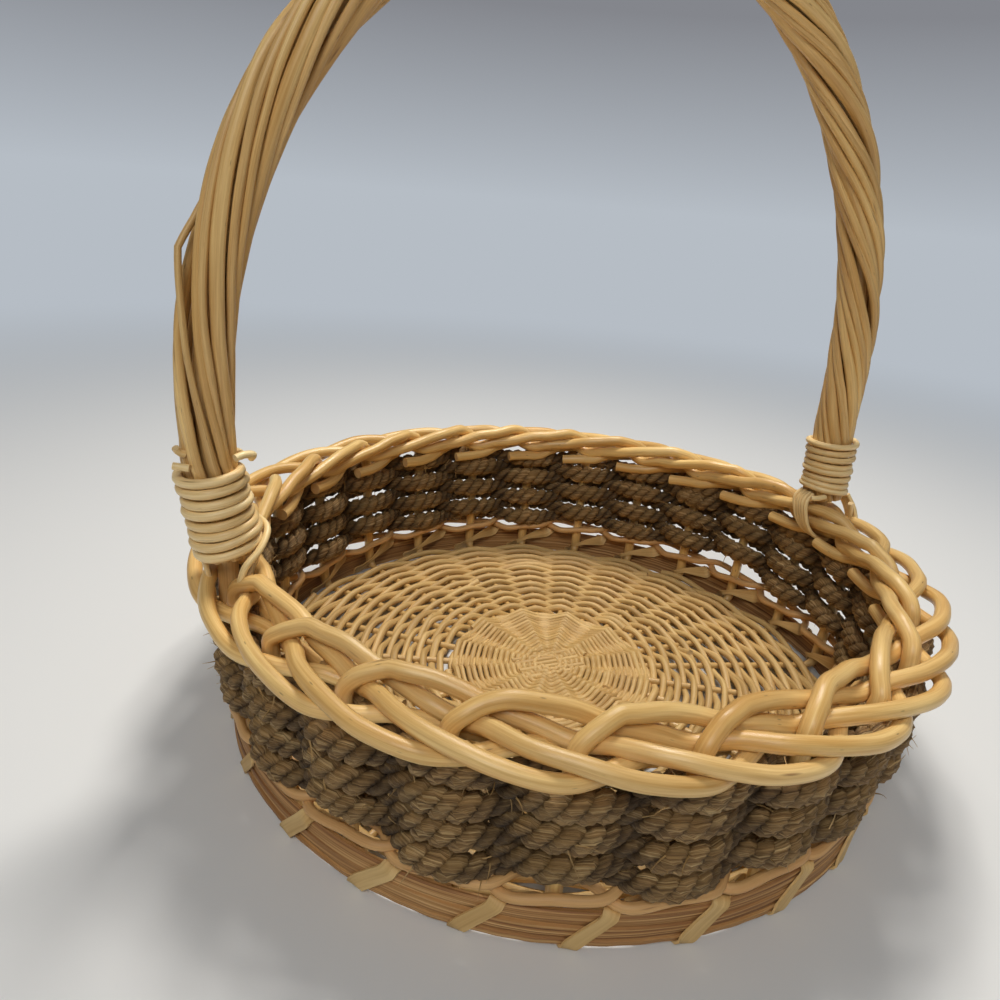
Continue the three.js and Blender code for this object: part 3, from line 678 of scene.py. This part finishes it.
def rope_tree():
    """Two ridged strands wound round each line, with broken blades standing out of them."""
    tree, given, end = new_tree("rope along lines", {"Sides": "Int", "Lay": "Float", "Out": "Float",
                                                     "Up": "Float", "Blades": "Int", "Seed": "Int"})
    wire = Wire(tree)
    curve = wire.add("GeometryNodeMeshToCurve", None, {"Mesh": given["Lines"]})
    curve = wire.add("GeometryNodeSetCurveNormal", {"mode": "Z_UP"}, {"Curve": curve})
    length = wire.add("GeometryNodeSplineParameter", out="Length")
    tangent = wire.add("GeometryNodeInputTangent")
    sideways = wire.add("GeometryNodeInputNormal")
    upwards = wire.add("ShaderNodeVectorMath", {"operation": "CROSS_PRODUCT"}, {0: tangent, 1: sideways})
    curve = noted(curve, "along", length + own_value(wire, "rod") * ROD_SHIFT)
    along = own_value(wire, "along")
    half = own_value(wire, "half")
    turn = (ripple(wire, along * 22.0) - 0.5) * 3.0 - length * given["Lay"]
    curve = noted(curve, "axis", wire.add("GeometryNodeInputPosition"), "FLOAT_VECTOR")
    strands = []
    for phase in (0.0, math.pi):
        angle = turn + phase
        cosine = wire.add("ShaderNodeMath", {"operation": "COSINE"}, {0: angle})
        sine = wire.add("ShaderNodeMath", {"operation": "SINE"}, {0: angle})
        out = wire.add("ShaderNodeVectorMath", {"operation": "SCALE"},
                       {0: sideways, "Scale": cosine * half * given["Out"]})
        up = wire.add("ShaderNodeVectorMath", {"operation": "SCALE"},
                      {0: upwards, "Scale": sine * half * given["Up"]})
        offset = wire.add("ShaderNodeVectorMath", {"operation": "ADD"}, {0: out, 1: up})
        strand = wire.add("GeometryNodeSetPosition", None, {"Geometry": curve, "Offset": offset})
        strand = wire.add("GeometryNodeSetCurveNormal", {"mode": "MINIMUM_TWIST"}, {"Curve": strand})
        strand = wire.add("GeometryNodeSetCurveTilt", None, {"Curve": strand, "Tilt": length * 420.0})
        strand = noted(strand, "along", along + phase)
        swell = 1.0 + (ripple(wire, along * 95.0 + phase * 10.0) - 0.5) * 0.4
        strands.append(tube(wire, strand, profile(given, 0.6), half * swell))
    both = wire.add("GeometryNodeJoinGeometry", None, {"Geometry": strands[0]})
    tree.links.new(strands[1].socket, both.socket.node.inputs[0])
    place = wire.add("GeometryNodeInputPosition")
    axis = own_value(wire, "axis", "FLOAT_VECTOR")
    from_axis = wire.add("ShaderNodeVectorMath", {"operation": "DISTANCE"}, {0: place, 1: axis}, "Value")
    # How far each point lies from the rope's middle; the finish paints shade into the creases from it.
    both = noted(both, "raised", from_axis)
    blade = wire.add("GeometryNodeCurvePrimitiveBezierSegment", None,
                     {"Resolution": 4, "Start": (0, 0, 0), "Start Handle": (0.002, 0, 0.0004),
                      "End Handle": (0.0045, 0.0004, 0.001), "End": (0.006, 0.0012, 0.0024)})
    share = wire.add("GeometryNodeSplineParameter", out="Factor")
    thin = wire.add("GeometryNodeCurvePrimitiveCircle", None, {"Resolution": 3, "Radius": 0.00028})
    blade = wire.add("GeometryNodeCurveToMesh", None,
                     {"Curve": blade, "Profile Curve": thin, "Scale": 1.0 - share * 0.8, "Fill Caps": True})
    points = wire.add("GeometryNodeDistributePointsOnFaces", None,
                      {"Mesh": both, "Density": given["Blades"], "Seed": given["Seed"]})
    facing = Wire(tree, points.socket.node.outputs["Rotation"])
    spin = wire.add("FunctionNodeRandomValue", {"data_type": "FLOAT_VECTOR"},
                    {"Min": (-0.5, -0.9, 0.0), "Max": (0.5, 0.3, 6.3), "Seed": given["Seed"]})
    turned = wire.add("FunctionNodeRotateRotation", {"rotation_space": "LOCAL"},
                      {"Rotation": facing, "Rotate By": spin})
    sizes = wire.add("FunctionNodeRandomValue", None, {"Min": 0.35, "Max": 1.35, "Seed": given["Seed"]})
    blades = wire.add("GeometryNodeInstanceOnPoints", None,
                      {"Points": points, "Instance": blade, "Rotation": turned, "Scale": sizes})
    loose = wire.add("GeometryNodeRealizeInstances", None, {"Geometry": blades})
    loose = noted(loose, "stray", wire.add("FunctionNodeRandomValue", None, {"Min": 0.3, "Max": 1.0}))
    whole = wire.add("GeometryNodeJoinGeometry", None, {"Geometry": both})
    tree.links.new(loose.socket, whole.socket.node.inputs[0])
    end_tree(given, end, whole)
    return tree


def dry_seagrass():
    """Dry seagrass: flat blades side by side, olive brown to straw, split and matt; painted shade in its
    creases.
    """
    material, wire = new_finish("dry seagrass")
    own = wire.add("ShaderNodeAttribute", {"attribute_name": "along"}, out="Fac")
    stray = wire.add("ShaderNodeAttribute", {"attribute_name": "stray"}, out="Fac")
    blades = noise(wire, grain(wire, 40.0, 3.0), 3.0)
    fibres = noise(wire, grain(wire, 50.0, 15.0), 4.0)
    colour = wire.add("ShaderNodeValToRGB", {"stops": [
        (0.3, srgb(92, 64, 34)), (0.43, srgb(138, 104, 60)),
        (0.53, srgb(178, 142, 90)), (0.65, srgb(236, 206, 150)),
    ]}, {"Fac": blades * 0.55 + fibres * 0.45})
    patch = wire.add("ShaderNodeTexNoise", {"noise_dimensions": "1D"},
                     {"W": own, "Scale": 28.0, "Detail": 1.0})
    colour = tone(wire, spread(wire, patch, 0.42, 0.7) * 0.5, colour, srgb(138, 110, 64))
    split = 1.0 - spread(wire, noise(wire, grain(wire, 24.0, 9.0), 2.0), 0.34, 0.42)
    colour = tone(wire, split * 0.5, colour, srgb(76, 54, 30))
    # Painted shade: the blades darken towards the rope's middle, in the creases between its strands; stray
    # blades are left out.
    raised = wire.add("ShaderNodeAttribute", {"attribute_name": "raised"}, out="Fac")
    painted_crease_shade = (1.0 - spread(wire, raised, 0.0030, 0.0050)) * (1.0 - stray)
    colour = tone(wire, painted_crease_shade * 0.85, colour, srgb(48, 33, 18))
    colour = tone(wire, stray * 0.75, colour, srgb(204, 170, 112))
    relief = fibres * 0.7 + blades * 0.6 - split * 0.5
    bump = wire.add("ShaderNodeBump", None, {"Strength": 0.9, "Distance": 0.0007, "Height": relief})
    shader = wire.add("ShaderNodeBsdfPrincipled", None,
                      {"Base Color": colour, "Roughness": 0.42 + fibres * 0.3, "Normal": bump,
                       "Specular IOR Level": 0.5})
    wire.add("ShaderNodeOutputMaterial", None, {"Surface": shader})
    return material


def rope_height(at):
    """Height of the rope's middle, so many spacings past the first stake."""
    rounds = np.arange(ROPE_ROUNDS)
    starts = ROPE_BEGINS + rounds * len(stakes)
    places = np.stack([starts, starts + ROPE_LEVEL], axis=1).ravel()
    return ROPE_START + ROPE_PITCH * np.interp(at, places, np.repeat(rounds, 2))


seagrass = dry_seagrass()
ropes = rope_tree()
draws = np.random.default_rng(41)
rope_rows = sorted(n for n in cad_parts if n.startswith("rope_row_"))
for row, node in enumerate(rope_rows):
    route = []
    rounds_before = row + 1 if row else 0  # the first piece holds two rounds
    first = ROPE_BEGINS + rounds_before * len(stakes)
    last = ROPE_BEGINS + (row + 2) * len(stakes)
    for m in range(first, last + 1):
        side = 1 if m % 2 == 0 else -1
        slack = draws.normal(0, 0.0005, 2)
        for at in (m - ROPE_FLAT, m + ROPE_FLAT):
            z = rope_height(at)
            radius = ring_at(z) + side * rope_reach + slack[0]
            route.append((*on_ring(radius, at, z + slack[1]), STRAND_HALF))
        z = rope_height(m + 0.5)
        route.append((*on_ring(ring_at(z), m + 0.5, z), STRAND_HALF * ROPE_CROSS))
    rope = grown("seagrass_" + node, [eased(route[:-1], 0.0012)], ropes,
                 {"Sides": 14, "Lay": 2 * math.pi / ROPE_LAY, "Out": LAY_OUT, "Up": LAY_UP, "Blades": 2300,
                  "Seed": 7 + row, "Finish": seagrass}, 200 + row)
    fit(rope, "seagrass", node)


# The handle: willow rods laid side by side round a thicker core and twisted, some places with two thin rods
# for a thick one. The arch leans out a little over its left foot. One rod has broken there and stands off
# the rest.
CORE_HALF = 0.0040
BOW_HALF = 0.0025
THIN_HALF = 0.00165
PAIRED = (1, 3, 4, 6, 8)  # places that hold two thin rods
BOW_RING = 0.0076
SPRING_Z = 0.150
RISE = 0.175
TWIST_LENGTH = 0.220
UNTWIST = 0.12  # of a turn, taken back at the left foot
UNTWIST_LENGTH = 0.028
LEAN_Z = (0.092, 0.130, 0.160, 0.225, 0.260, 0.300, 0.325)  # heights, and each leg's lean there
LEFT_LEAN = (-0.0010, -0.0050, -0.0050, -0.0050, -0.0058, -0.0060, -0.0015)
RIGHT_LEAN = (-0.0025, -0.0050, -0.0060, -0.0060, -0.0060, -0.0045, -0.0010)
SQUEEZE_AT = (0, 0.05, 0.12, 0.3, 0.5, 0.7, 0.88, 0.95, 1)  # share of the way along the handle
SQUEEZE = (0.92, 0.92, 1, 0.97, 0.9, 0.95, 1, 0.92, 0.92)  # size of the ring of rods there
BREAK_Z = 0.199
BREAK_ALONG = (-0.05, -0.02, 0, 0.009, 0.02)  # metres along the rod from its break
BREAK_OFF = (0, 0.002, 0.0042, 0.0014, -0.001)  # how far it stands off there
SPLIT_ALONG = (-0.12, -0.04, 0.03, 0.1)
SPLIT_HALF = (0.003, 0.0012, 0.0012, 0.003)  # most that is left of its half thickness there
core_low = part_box("handle_core")[0]
bow_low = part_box("bow_rod_1")[0]
leg_x = -left_foot.x
handle_y = left_foot.y


def arch(foot_z):
    """Points along the arch and their tangents, from the left foot to the right."""
    a = np.linspace(math.pi, 0, 160)
    leg = np.linspace(foot_z, SPRING_Z, 24, endpoint=False)
    x = np.concatenate([np.full(24, -leg_x), leg_x * np.cos(a), np.full(24, leg_x)])
    z = np.concatenate([leg, SPRING_Z + RISE * np.sin(a), leg[::-1]])
    x = x + np.where(x < 0, np.interp(z, LEAN_Z, LEFT_LEAN), np.interp(z, LEAN_Z, RIGHT_LEAN))
    line = eased(np.column_stack([x, np.full(len(x), handle_y), z]), 0.003)
    step = np.gradient(line, axis=0)
    return line, step / np.linalg.norm(step, axis=1)[:, None]


handle_willow = peeled_willow("handle willow", srgb(238, 204, 140), srgb(190, 146, 84), srgb(202, 158, 92),
                              0.3)
line, _ = arch(core_low.z)
core = grown("handle_heart", [np.column_stack([line, np.full(len(line), CORE_HALF)])], rods,
             {"Sides": 12, "Uneven": 0.1, "Wander": 0.0, "Waves": 20.0, "Finish": handle_willow}, 70)
fit(core, "willow", "handle_core")

line, tangent = arch(bow_low.z)
travel = np.concatenate([[0], np.cumsum(np.linalg.norm(np.diff(line, axis=0), axis=1))])
share = travel / travel[-1]
turns = travel[-1] / TWIST_LENGTH * (share + share**2) / 2 - UNTWIST * np.exp(-travel / UNTWIST_LENGTH)
squeezed = np.interp(share, SQUEEZE_AT, SQUEEZE)
front_to_back = np.array([0.0, 1.0, 0.0])
in_plane = np.cross(tangent, front_to_back)
bow_rods = sorted(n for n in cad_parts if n.startswith("bow_rod_"))
broken_at = np.argmin(np.abs(line[: len(line) // 2, 2] - BREAK_Z))
broken_turn = np.arctan2(-in_plane[broken_at] @ [1.0, 0.0, 0.0], 0) / (2 * math.pi) + turns[broken_at]
broken = round(broken_turn * len(bow_rods)) % len(bow_rods)
draws = np.random.default_rng(51)
for k, node in enumerate(bow_rods):
    side_by_side = [(-0.17, THIN_HALF), (0.19, THIN_HALF * 0.95)] if k in PAIRED else [(0.0, BOW_HALF)]
    routes = []
    for aside, thick in side_by_side:
        sway = 0.12 * np.sin(7 * share + draws.uniform(0, 7))
        angle = 2 * math.pi * (k / len(bow_rods) - turns) + aside + sway
        ring = (BOW_RING * squeezed + (BOW_HALF - thick) * 0.9)[:, None]
        away = np.cos(angle)[:, None] * front_to_back + np.sin(angle)[:, None] * in_plane
        place = line + ring * away
        taper = thick * draws.uniform(0.92, 1.1) * np.linspace(1.08, 0.92, len(line))[:: 1 if k % 2 else -1]
        if k == broken and aside <= 0:
            off = travel - travel[broken_at]
            stands = np.interp(off, BREAK_ALONG, BREAK_OFF)
            place = place + stands[:, None] * away
            taper = np.minimum(taper, np.interp(off, SPLIT_ALONG, SPLIT_HALF))
        routes.append(np.column_stack([place, taper]))
    rod = grown("willow_" + node, routes, rods,
                {"Sides": 12, "Uneven": 0.16, "Wander": 0.0011, "Waves": 22.0, "Finish": handle_willow},
                80 + k)
    fit(rod, "willow", node)


# The collars: pale cane wound round the feet of the handle to hold the rods together, one wound to the left
# and one to the right. The turns lean, more so lower down, and the cane's ends are tucked in among the rods.
CANE_HALF = 0.00185
CANE_RING = 0.0107
COLLAR_TURNS = 8
COLLAR_INSET = 0.0018  # from the collar's ends to the middle of the first and last turn
WINDINGS = {  # way round, size, drift across from bottom to top, lean of the turns at three heights
    "left": (-1, 1.0, (0.0, -0.0056), (0.34, 0.28, 0.2)),
    "right": (1, 0.84, (-0.0028, -0.0050), (-0.17, -0.07, 0.0)),
}
LOOSE_ENDS = {  # from the middle of the collar's foot
    "left": [
        [(0.0100, 0.0080, 0.0085), (0.0138, -0.0010, 0.0065), (0.0100, -0.0100, 0.0020),
         (0.0042, -0.0132, -0.0035), (0.0024, -0.0128, -0.0100), (0.0030, -0.0105, -0.0160)],
        [(-0.0120, -0.0080, 0.0345), (-0.0142, -0.0072, 0.0347), (-0.0172, -0.0062, 0.0350)],
        [(-0.0130, -0.0040, 0.0385), (-0.0150, -0.0045, 0.0395), (-0.0160, -0.0055, 0.0415)],
        [(0.0092, -0.0010, 0.0350), (0.0094, -0.0050, 0.0375), (0.0060, -0.0080, 0.0385),
         (0.0030, -0.0098, 0.0380)],
    ],
    "right": [
        [(-0.0100, -0.0082, 0.0000), (-0.0138, -0.0080, -0.0006), (-0.0165, -0.0060, -0.0012)],
        [(0.0090, -0.0090, -0.0050), (0.0110, -0.0082, -0.0085), (0.0130, -0.0070, -0.0130)],
    ],
}
collar_cane = peeled_willow("collar cane", srgb(253, 232, 180), srgb(222, 188, 126), srgb(232, 198, 134),
                            0.26)
draws = np.random.default_rng(57)
for side, (way, size, drift, lean) in WINDINGS.items():
    low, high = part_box("collar_" + side)
    middle = (low + high) / 2
    foot_z = low.z + COLLAR_INSET
    pitch = (high.z - low.z - 2 * COLLAR_INSET) / COLLAR_TURNS * size
    t = np.linspace(0, COLLAR_TURNS, COLLAR_TURNS * 30)
    slack = np.interp(t, np.arange(0, COLLAR_TURNS + 1, 0.5), draws.normal(0, 0.0004, 2 * COLLAR_TURNS + 2))
    radius = CANE_RING + slack
    aside = radius * np.cos(way * 2 * math.pi * t)
    x = middle.x + np.interp(t, (0, COLLAR_TURNS), drift) + aside
    y = middle.y + radius * np.sin(way * 2 * math.pi * t)
    z = foot_z + pitch * t + slack + aside * np.interp(t, (0, 3, COLLAR_TURNS), lean)
    routes = [eased(np.column_stack([x, y, z, np.full(len(t), CANE_HALF * size)]), 0.0016)]
    for end in LOOSE_ENDS[side]:
        places = [(middle.x + a, middle.y + b, foot_z + c, CANE_HALF * 0.75) for a, b, c in end]
        routes.append(eased(places, 0.0015))
    collar = grown("collar_winding_" + side, routes, rods,
                   {"Sides": 10, "Uneven": 0.14, "Wander": 0.0007, "Waves": 40.0, "Finish": collar_cane}, 90)
    fit(collar, "cane", "collar_" + side)


# The ties: fine cane strands, side by side, from each collar down inside the border, through under it and up
# its outside to the collar again. On the right they lie over the border in a fan, on the left between its
# rods.
TIE_HALF = 0.00105
TIE_RUNS = {  # outwards from the middle of the border, height, and how far apart the strands are
    "left": [(-0.0100, 0.0930, 0.0017), (-0.0070, 0.0840, 0.0017), (-0.0040, 0.0770, 0.0017),
             (0.0, 0.0718, 0.0018), (0.0060, 0.0718, 0.0018), (0.0075, 0.0800, 0.0017),
             (0.0095, 0.0930, 0.0017)],
    "right": [(-0.0118, 0.0950, 0.0019), (-0.0150, 0.0915, 0.0022), (-0.0158, 0.0850, 0.0021),
              (-0.0135, 0.0770, 0.0018), (-0.0070, 0.0722, 0.0014), (0.0080, 0.0722, 0.0014),
              (0.0172, 0.0790, 0.0017), (0.0168, 0.0850, 0.0018), (0.0120, 0.0935, 0.0018)],
}
TIE_SWEEP = {"left": 0.0, "right": 0.008}  # how far along the rim they have gone when they pass under it
TIE_DIVES = 0.090  # height below which they go along the rim
TIE_STRANDS = 5
for side, run in TIE_RUNS.items():
    low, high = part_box("tie_" + side)
    foot = np.array([math.copysign(leg_x, (low + high).x), handle_y])
    outward = foot / np.linalg.norm(foot)
    across = np.array([-outward[1], outward[0]])
    deepest = min(z for _, z, _ in run)
    strands = []
    for k in range(TIE_STRANDS):
        places = []
        for out, z, pitch in run:
            sunk = max(0.0, (TIE_DIVES - z) / (TIE_DIVES - deepest))
            aside = (k - (TIE_STRANDS - 1) / 2) * pitch - TIE_SWEEP[side] * sunk
            places.append((*(foot + outward * out + across * aside), z, TIE_HALF))
        strands.append(eased(places, 0.0015))
    tie = grown("tie_strands_" + side, strands, rods,
                {"Sides": 8, "Uneven": 0.2, "Wander": 0.0007, "Waves": 50.0, "Finish": collar_cane}, 95)
    fit(tie, "cane", "tie_" + side)


# The stage: a plain pale table, one lamp above and behind to the right, soft light from the front, and a
# camera that stands in front of the basket and to its left, looking down into it.
bpy.context.scene.view_settings.view_transform = "Standard"
HORIZON = srgb(182, 189, 197)
ABOVE = srgb(132, 134, 140)
material, wire = new_finish("pale table")
place = wire.add("ShaderNodeTexCoord", out="Object")
distance = wire.add("ShaderNodeVectorMath", {"operation": "LENGTH"}, {0: place}, "Value")
seen = wire.add("ShaderNodeLightPath", out="Is Camera Ray")
board = wire.add("ShaderNodeBsdfPrincipled", None, {"Base Color": srgb(230, 233, 235), "Roughness": 0.5})
haze = wire.add("ShaderNodeEmission", None, {"Color": HORIZON})
fade = wire.add("ShaderNodeMapRange", {"interpolation_type": "SMOOTHSTEP"},
                {"Value": distance, "From Min": 0.22, "From Max": 1.3})
surface = wire.add("ShaderNodeMixShader", None, {0: fade * seen, 1: board, 2: haze})
wire.add("ShaderNodeOutputMaterial", None, {"Surface": surface})
mesh = bpy.data.meshes.new("table")
FLOOR = 6.0
corners = [(-FLOOR, -FLOOR, 0), (FLOOR, -FLOOR, 0), (FLOOR, FLOOR, 0), (-FLOOR, FLOOR, 0)]
mesh.from_pydata(corners, [], [(0, 1, 2, 3)])
mesh.materials.append(material)
floor = bpy.data.objects.new("table", mesh)
bpy.context.scene.collection.objects.link(floor)

world = bpy.data.worlds.new("room")
world.use_nodes = True
world.node_tree.nodes.clear()
wire = Wire(world.node_tree)
way = wire.add("ShaderNodeTexCoord", out="Generated")
height = wire.add("ShaderNodeSeparateXYZ", None, {"Vector": way}, "Z")
# Painted shade: the backdrop that the camera sees is painted darker higher up, as on a far wall.
backdrop = tone(wire, spread(wire, height, 0.0, 0.2), HORIZON, ABOVE)
room = wire.add("ShaderNodeBackground", None, {"Color": srgb(228, 230, 234), "Strength": 0.2})
distant = wire.add("ShaderNodeBackground", None, {"Color": backdrop, "Strength": 1.0})
seen = wire.add("ShaderNodeLightPath", out="Is Camera Ray")
sky = wire.add("ShaderNodeMixShader", None, {0: seen, 1: room, 2: distant})
wire.add("ShaderNodeOutputWorld", None, {"Surface": sky})
bpy.context.scene.world = world


def lamp(name, place, target, size, power, colour):
    """A square lamp at a place, turned to a target."""
    light = bpy.data.lights.new(name, "AREA")
    light.size = size
    light.energy = power
    light.color = srgb(*colour)[:3]
    lit = bpy.data.objects.new(name, light)
    lit.location = place
    aim = np.array(target) - np.array(place)
    tip = math.acos(-aim[2] / np.linalg.norm(aim))
    lit.rotation_euler = (tip, 0, math.atan2(aim[1], aim[0]) - math.pi / 2)
    bpy.context.scene.collection.objects.link(lit)


lamp("lamp over the table", (0.17, 0.26, 0.95), (0, 0, 0.05), 0.26, 7.4, (255, 248, 238))
lamp("window in front", (-0.5, -0.75, 1.0), (0, 0, 0.1), 0.4, 5.0, (255, 251, 245))

CAMERA = (-0.16383, -0.28389, 0.22481)
YAW, PITCH, ROLL = 0.4266, 0.3792, 0.0848
FOCAL_SHARE = 0.756441  # focal length as a share of the picture's width
ahead = np.array([math.sin(YAW) * math.cos(PITCH), math.cos(YAW) * math.cos(PITCH), -math.sin(PITCH)])
right = np.array([math.cos(YAW), -math.sin(YAW), 0.0])
top = np.cross(right, ahead)
rolled_right = right * math.cos(ROLL) + top * math.sin(ROLL)
rolled_top = top * math.cos(ROLL) - right * math.sin(ROLL)
lens = bpy.data.cameras.new("eye")
lens.sensor_width = 36.0
lens.lens = FOCAL_SHARE * lens.sensor_width
lens.clip_start = 0.01
eye = bpy.data.objects.new("eye", lens)
pose = np.eye(4)
pose[:3, :3] = np.stack([rolled_right, rolled_top, -ahead], axis=1)
pose[:3, 3] = CAMERA
eye.matrix_world = Matrix(pose.tolist())
bpy.context.scene.collection.objects.link(eye)
bpy.context.scene.camera = eye
